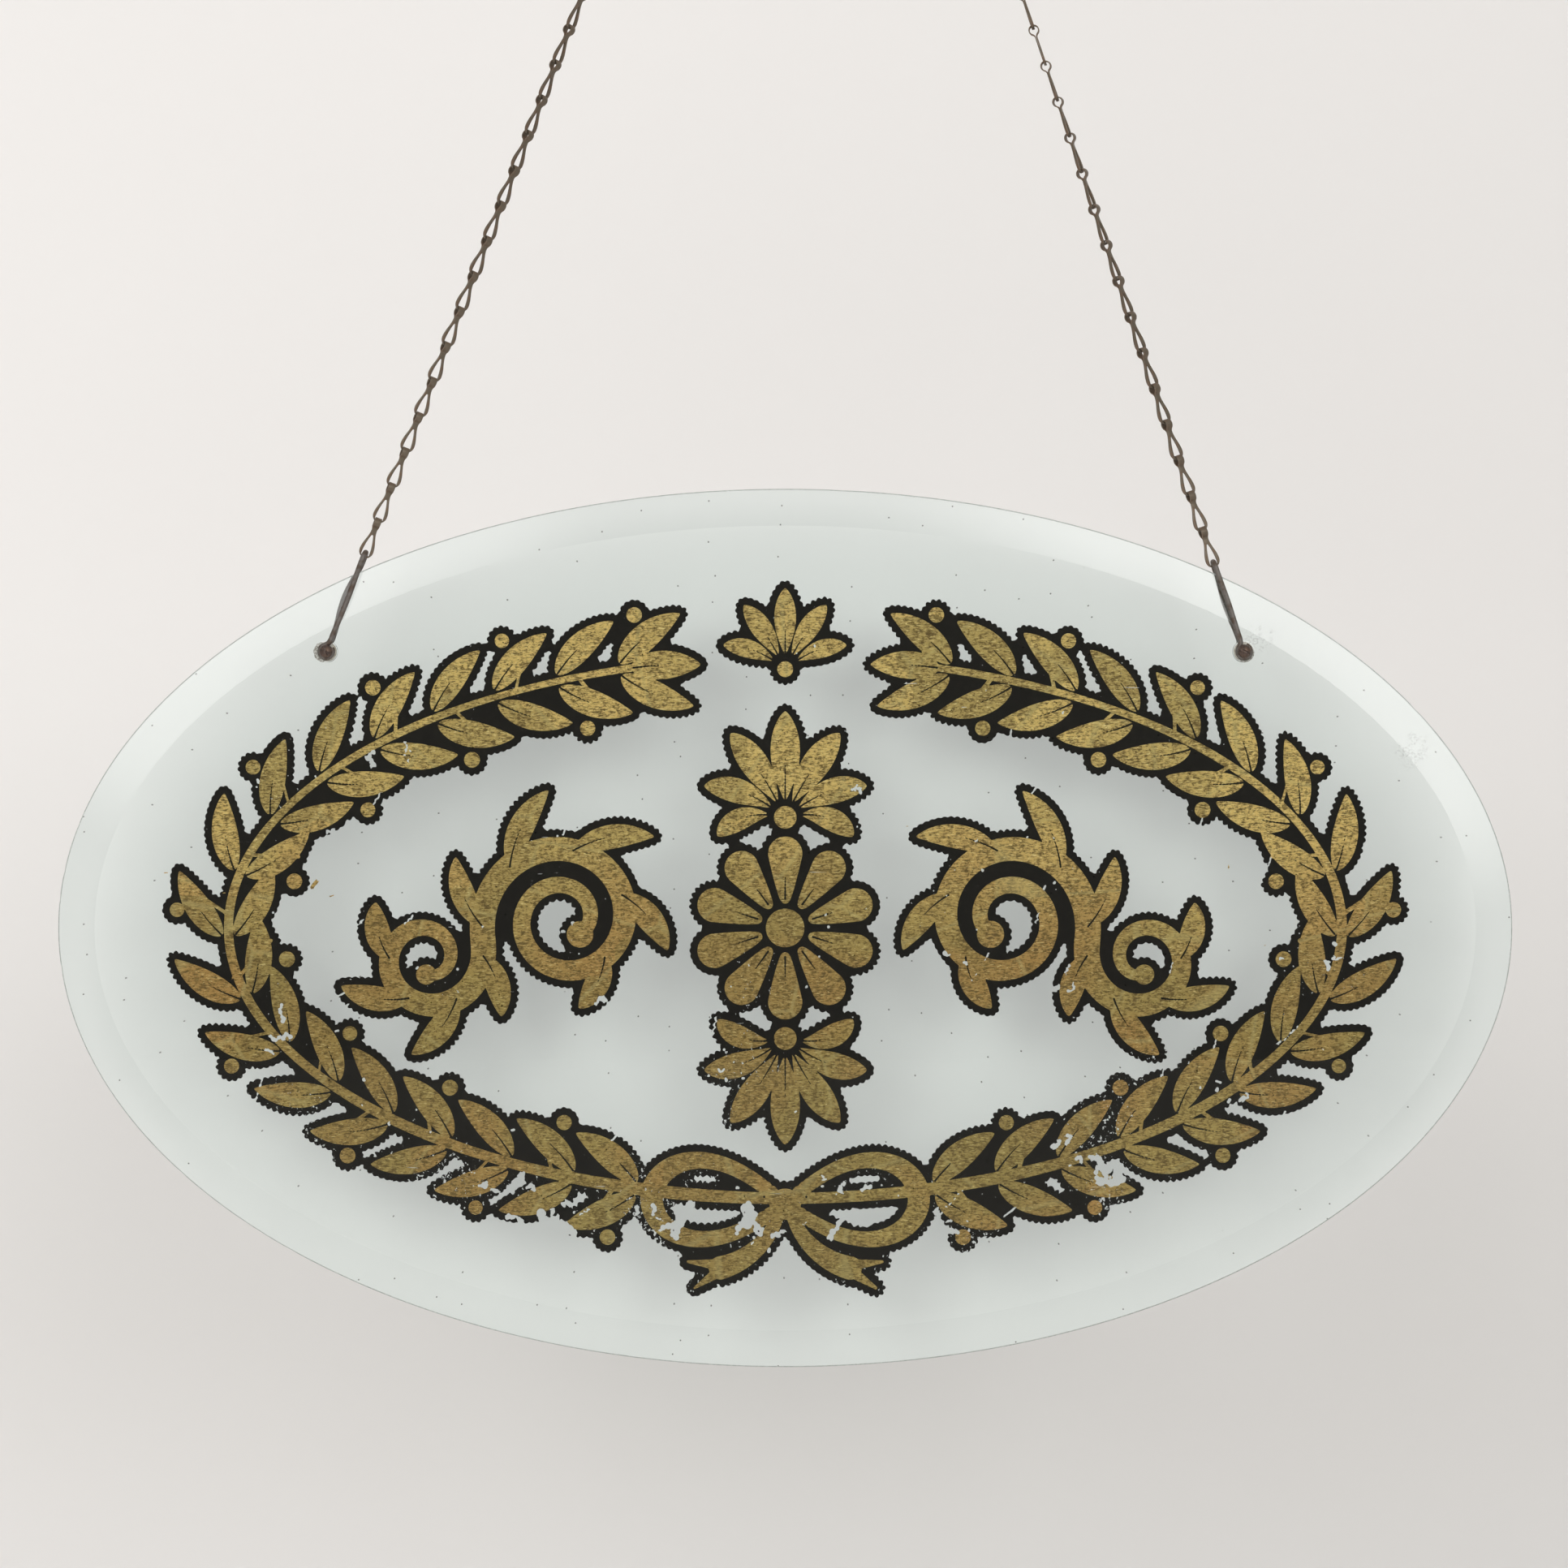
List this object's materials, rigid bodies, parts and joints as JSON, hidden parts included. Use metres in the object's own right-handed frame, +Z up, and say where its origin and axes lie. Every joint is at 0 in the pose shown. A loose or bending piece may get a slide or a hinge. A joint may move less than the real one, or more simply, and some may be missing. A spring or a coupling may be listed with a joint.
{
  "type": "hanging glass shop sign",
  "caption": "Oval bevelled glass sign hung by wire hangers and folded-link chains from ceiling hooks.",
  "frame": {"origin": "midway between the two ceiling hooks, level with the flat tops of their flanges", "axes": "+X to the right of a person reading the sign, -Y out of its painted front, +Z up"},
  "size_m": [1, 0.0236, 0.9902],
  "materials": {
    "bevelled_glass": "polished",
    "browned_steel": "patinated",
    "dark_screw_steel": "patinated",
    "aged_brass": "aged",
    "pale_bush": "matte"
  },
  "bodies": {
    "fixings": {"left_ceiling_hook": "aged_brass", "right_ceiling_hook": "aged_brass"},
    "links_16": {"left_link_16": "browned_steel", "right_link_16": "browned_steel"},
    "links_15": {"left_link_15": "browned_steel", "right_link_15": "browned_steel"},
    "links_14": {"left_link_14": "browned_steel", "right_link_14": "browned_steel"},
    "links_13": {"left_link_13": "browned_steel", "right_link_13": "browned_steel"},
    "links_12": {"left_link_12": "browned_steel", "right_link_12": "browned_steel"},
    "links_11": {"left_link_11": "browned_steel", "right_link_11": "browned_steel"},
    "links_10": {"left_link_10": "browned_steel", "right_link_10": "browned_steel"},
    "links_09": {"left_link_09": "browned_steel", "right_link_09": "browned_steel"},
    "links_08": {"left_link_08": "browned_steel", "right_link_08": "browned_steel"},
    "links_07": {"left_link_07": "browned_steel", "right_link_07": "browned_steel"},
    "links_06": {"left_link_06": "browned_steel", "right_link_06": "browned_steel"},
    "links_05": {"left_link_05": "browned_steel", "right_link_05": "browned_steel"},
    "links_04": {"left_link_04": "browned_steel", "right_link_04": "browned_steel"},
    "links_03": {"left_link_03": "browned_steel", "right_link_03": "browned_steel"},
    "links_02": {"left_link_02": "browned_steel", "right_link_02": "browned_steel"},
    "links_01": {"left_link_01": "browned_steel", "right_link_01": "browned_steel"},
    "sign": {"glass_panel": "bevelled_glass", "left_hole_sleeve": "pale_bush", "left_hanger": "browned_steel", "left_screw": "dark_screw_steel", "left_nut": "dark_screw_steel", "right_hole_sleeve": "pale_bush", "right_hanger": "browned_steel", "right_screw": "dark_screw_steel", "right_nut": "dark_screw_steel"}
  },
  "joints": [
    {"name": "links_16_swing", "type": "hinge", "parent": "fixings", "child": "links_16", "pos_m": [-0.15, 0, -0.01964], "axis": [1, 0, 0], "range_deg": [-12, 12]},
    {"name": "links_15_swing", "type": "hinge", "parent": "links_16", "child": "links_15", "pos_m": [-0.15942, 0, -0.04388], "axis": [1, 0, -0.0013], "range_deg": [-7.5, 7.5]},
    {"name": "links_14_swing", "type": "hinge", "parent": "links_15", "child": "links_14", "pos_m": [-0.16885, 0, -0.06811], "axis": [1, 0, -0.0024], "range_deg": [-7.5, 7.5]},
    {"name": "links_13_swing", "type": "hinge", "parent": "links_14", "child": "links_13", "pos_m": [-0.17827, 0, -0.09234], "axis": [1, 0, -0.0035], "range_deg": [-7.5, 7.5]},
    {"name": "links_12_swing", "type": "hinge", "parent": "links_13", "child": "links_12", "pos_m": [-0.1877, 0, -0.11657], "axis": [1, 0, -0.0044], "range_deg": [-7.5, 7.5]},
    {"name": "links_11_swing", "type": "hinge", "parent": "links_12", "child": "links_11", "pos_m": [-0.19712, 0, -0.1408], "axis": [1, 0, -0.0052], "range_deg": [-7.5, 7.5]},
    {"name": "links_10_swing", "type": "hinge", "parent": "links_11", "child": "links_10", "pos_m": [-0.20655, 0, -0.16503], "axis": [1, 0, -0.006], "range_deg": [-7.5, 7.5]},
    {"name": "links_09_swing", "type": "hinge", "parent": "links_10", "child": "links_09", "pos_m": [-0.21597, 0, -0.18927], "axis": [1, 0, -0.0067], "range_deg": [-7.5, 7.5]},
    {"name": "links_08_swing", "type": "hinge", "parent": "links_09", "child": "links_08", "pos_m": [-0.2254, 0, -0.2135], "axis": [1, 0, -0.0074], "range_deg": [-7.5, 7.5]},
    {"name": "links_07_swing", "type": "hinge", "parent": "links_08", "child": "links_07", "pos_m": [-0.23482, 0, -0.23773], "axis": [1, 0, -0.008], "range_deg": [-7.5, 7.5]},
    {"name": "links_06_swing", "type": "hinge", "parent": "links_07", "child": "links_06", "pos_m": [-0.24425, 0, -0.26196], "axis": [1, 0, -0.0085], "range_deg": [-7.5, 7.5]},
    {"name": "links_05_swing", "type": "hinge", "parent": "links_06", "child": "links_05", "pos_m": [-0.25367, 0, -0.28619], "axis": [1, 0, -0.009], "range_deg": [-7.5, 7.5]},
    {"name": "links_04_swing", "type": "hinge", "parent": "links_05", "child": "links_04", "pos_m": [-0.2631, 0, -0.31043], "axis": [1, 0, -0.0095], "range_deg": [-8.5, 8.5]},
    {"name": "links_03_swing", "type": "hinge", "parent": "links_04", "child": "links_03", "pos_m": [-0.27252, 0, -0.33466], "axis": [1, 0, -0.01], "range_deg": [-8.5, 8.5]},
    {"name": "links_02_swing", "type": "hinge", "parent": "links_03", "child": "links_02", "pos_m": [-0.28195, 0, -0.35889], "axis": [0.9999, 0, -0.0104], "range_deg": [-8.5, 8.5]},
    {"name": "links_01_swing", "type": "hinge", "parent": "links_02", "child": "links_01", "pos_m": [-0.29137, 0, -0.38312], "axis": [0.9999, 0, -0.0108], "range_deg": [-8.5, 8.5]},
    {"name": "sign_swing", "type": "hinge", "parent": "links_01", "child": "sign", "pos_m": [-0.3008, 0, -0.40735], "axis": [0.9999, 0, -0.0111], "range_deg": [-19, 19]}
  ]
}
